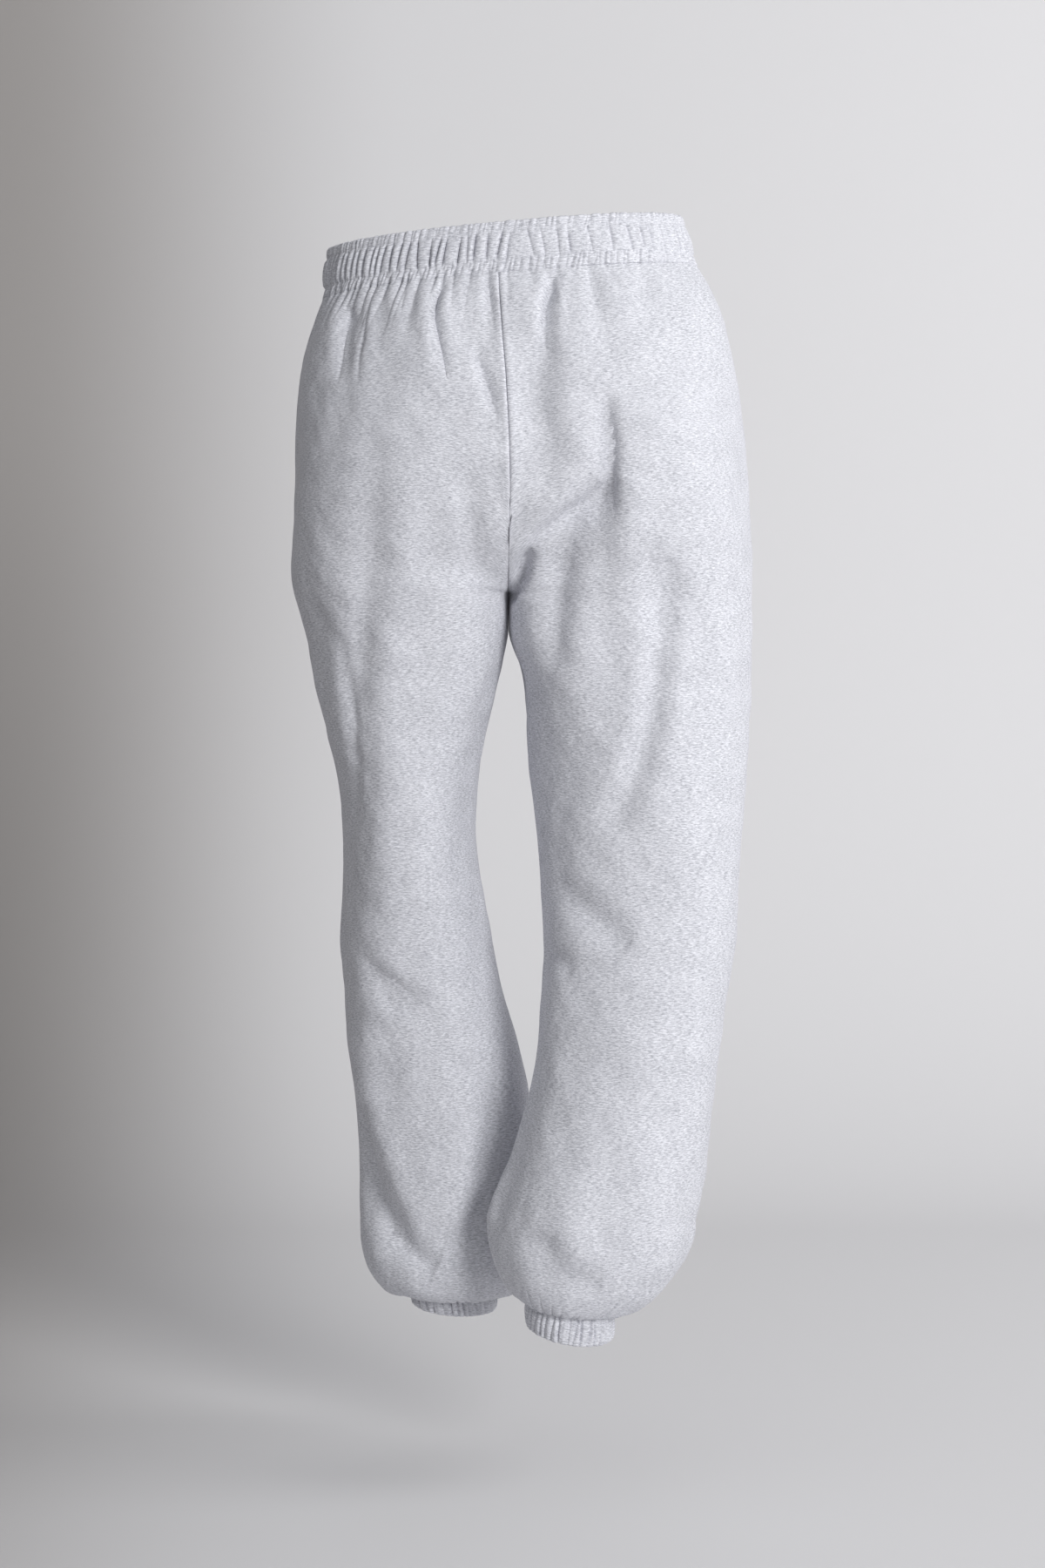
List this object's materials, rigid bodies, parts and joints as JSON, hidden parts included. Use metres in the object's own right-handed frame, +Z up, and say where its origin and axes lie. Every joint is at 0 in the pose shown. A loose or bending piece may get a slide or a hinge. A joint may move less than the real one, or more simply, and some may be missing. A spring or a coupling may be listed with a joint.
{
  "type": "jogger sweatpants",
  "caption": "Relaxed fleece jogger sweatpants with a gathered elastic waistband, a centre back seam and bloused hems over elastic cuffs, in the form they keep when worn.",
  "frame": {"origin": "middle of the waistband ring, where the wearer's waist holds it", "axes": "+Z up out of the waist, -Y to the wearer's front, +X to the wearer's left"},
  "size_m": [0.4108, 0.2797, 0.9875],
  "materials": {
    "fleece": "brushed cotton fleece, light grey melange"
  },
  "bodies": {
    "root": {"back_left": "fleece", "back_right": "fleece", "front_left": "fleece", "front_right": "fleece", "waistband": "fleece", "cuff_left": "fleece", "cuff_right": "fleece"}
  },
  "joints": []
}
